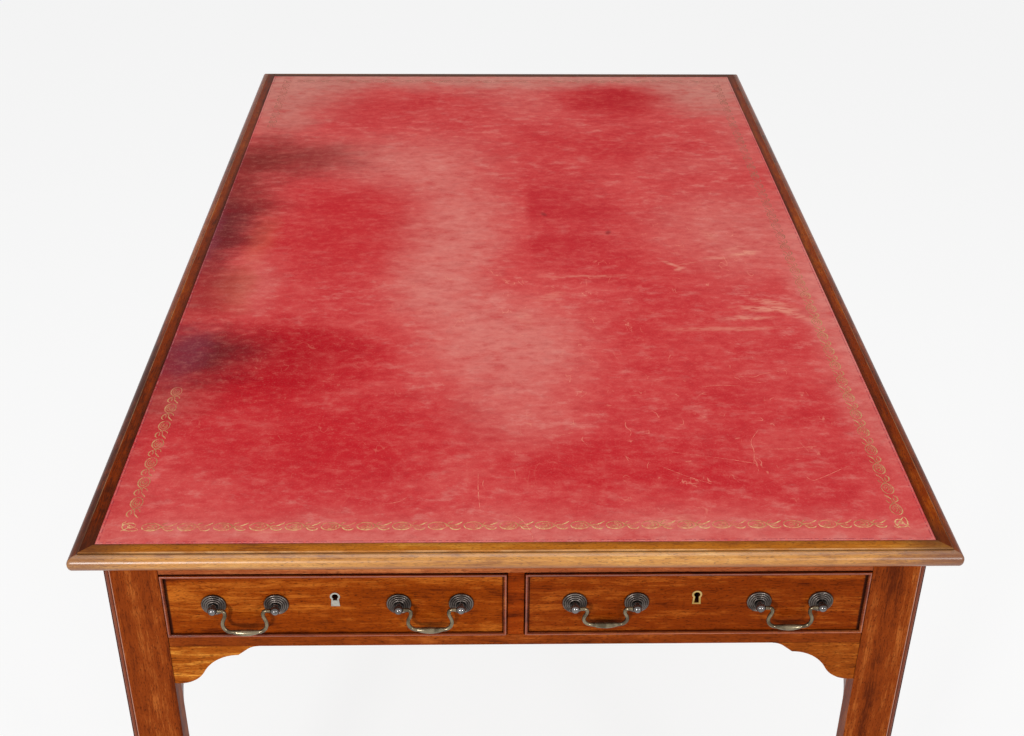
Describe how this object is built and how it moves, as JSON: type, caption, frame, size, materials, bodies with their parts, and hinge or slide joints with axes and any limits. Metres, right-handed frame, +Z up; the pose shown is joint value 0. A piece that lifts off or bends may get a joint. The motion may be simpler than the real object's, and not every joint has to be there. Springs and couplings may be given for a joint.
{
  "type": "writing table",
  "caption": "Leather-topped mahogany writing table: square chamfered legs, moulded edge, bracketed rails, and cock-beaded drawers with locks and swan-neck drop handles in the end.",
  "frame": {"origin": "on the floor under the middle of the top", "axes": "+Z up, +Y along the length away from the drawer end, +X to the right of someone facing the drawers"},
  "size_m": [0.914, 1.474, 0.762],
  "materials": {
    "mahogany": "polished mahogany",
    "edge_mahogany": "polished faded mahogany",
    "oak": "bare oak drawer lining",
    "pine": "bare pine carcase wood",
    "leather": "worn red hide",
    "antique_brass": "antique brass",
    "lock_brass": "rubbed brass",
    "steel": "dull steel"
  },
  "bodies": {
    "table_frame": {"top_panel": "pine", "cross_rail": "pine", "runner_left": "pine", "runner_centre": "pine", "runner_right": "pine", "drawer_kickers": "pine", "drawer_stops": "pine", "top_buttons": "pine", "leather_inset": "leather", "edge_moulding_front": "edge_mahogany", "edge_moulding_rear": "edge_mahogany", "edge_moulding_left": "edge_mahogany", "edge_moulding_right": "edge_mahogany", "leg_front_left": "mahogany", "leg_front_right": "mahogany", "leg_rear_right": "mahogany", "leg_rear_left": "mahogany", "front_top_rail": "mahogany", "front_bottom_rail": "mahogany", "front_muntin": "mahogany", "left_apron": "mahogany", "right_apron": "mahogany", "rear_apron": "mahogany", "bracket_front_left": "mahogany", "bracket_front_right": "mahogany", "bracket_rear_left": "mahogany", "bracket_rear_right": "mahogany", "bracket_left_front": "mahogany", "bracket_left_rear": "mahogany", "bracket_right_front": "mahogany", "bracket_right_rear": "mahogany", "top_screws": "steel"},
    "drawer_left": {"drawer_left_front": "mahogany", "drawer_left_cock_bead": "mahogany", "drawer_left_left_side": "oak", "drawer_left_right_side": "oak", "drawer_left_back": "oak", "drawer_left_bottom": "oak", "drawer_left_lock_case": "lock_brass", "drawer_left_escutcheon": "lock_brass", "drawer_left_roses": "antique_brass", "drawer_left_posts": "antique_brass", "drawer_left_post_nuts": "antique_brass"},
    "lock_bolt_left": {"drawer_left_lock_bolt": "lock_brass"},
    "left_drawer_left_bail": {"drawer_left_bail_left": "antique_brass"},
    "left_drawer_right_bail": {"drawer_left_bail_right": "antique_brass"},
    "drawer_right": {"drawer_right_front": "mahogany", "drawer_right_cock_bead": "mahogany", "drawer_right_left_side": "oak", "drawer_right_right_side": "oak", "drawer_right_back": "oak", "drawer_right_bottom": "oak", "drawer_right_lock_case": "lock_brass", "drawer_right_escutcheon": "lock_brass", "drawer_right_roses": "antique_brass", "drawer_right_posts": "antique_brass", "drawer_right_post_nuts": "antique_brass"},
    "lock_bolt_right": {"drawer_right_lock_bolt": "lock_brass"},
    "right_drawer_left_bail": {"drawer_right_bail_left": "antique_brass"},
    "right_drawer_right_bail": {"drawer_right_bail_right": "antique_brass"}
  },
  "joints": [
    {"name": "drawer_left_slide", "type": "slide", "parent": "table_frame", "child": "drawer_left", "axis": [0, -1, 0], "range_m": [0, 0.42]},
    {"name": "lock_bolt_left_throw", "type": "slide", "parent": "drawer_left", "child": "lock_bolt_left", "axis": [0, 0, 1], "range_m": [0, 0.007]},
    {"name": "left_drawer_left_bail_swing", "type": "hinge", "parent": "drawer_left", "child": "left_drawer_left_bail", "pos_m": [-0.28779, -0.718, 0.6765], "axis": [-1, 0, 0], "range_deg": [-22, 87]},
    {"name": "left_drawer_right_bail_swing", "type": "hinge", "parent": "drawer_left", "child": "left_drawer_right_bail", "pos_m": [-0.09212, -0.718, 0.6765], "axis": [-1, 0, 0], "range_deg": [-17, 92]},
    {"name": "drawer_right_slide", "type": "slide", "parent": "table_frame", "child": "drawer_right", "axis": [0, -1, 0], "range_m": [0, 0.42]},
    {"name": "lock_bolt_right_throw", "type": "slide", "parent": "drawer_right", "child": "lock_bolt_right", "axis": [0, 0, 1], "range_m": [0, 0.007]},
    {"name": "right_drawer_left_bail_swing", "type": "hinge", "parent": "drawer_right", "child": "right_drawer_left_bail", "pos_m": [0.09448, -0.718, 0.6765], "axis": [-1, 0, 0], "range_deg": [-4, 105]},
    {"name": "right_drawer_right_bail_swing", "type": "hinge", "parent": "drawer_right", "child": "right_drawer_right_bail", "pos_m": [0.29122, -0.718, 0.6765], "axis": [-1, 0, 0], "range_deg": [-14, 95]}
  ]
}
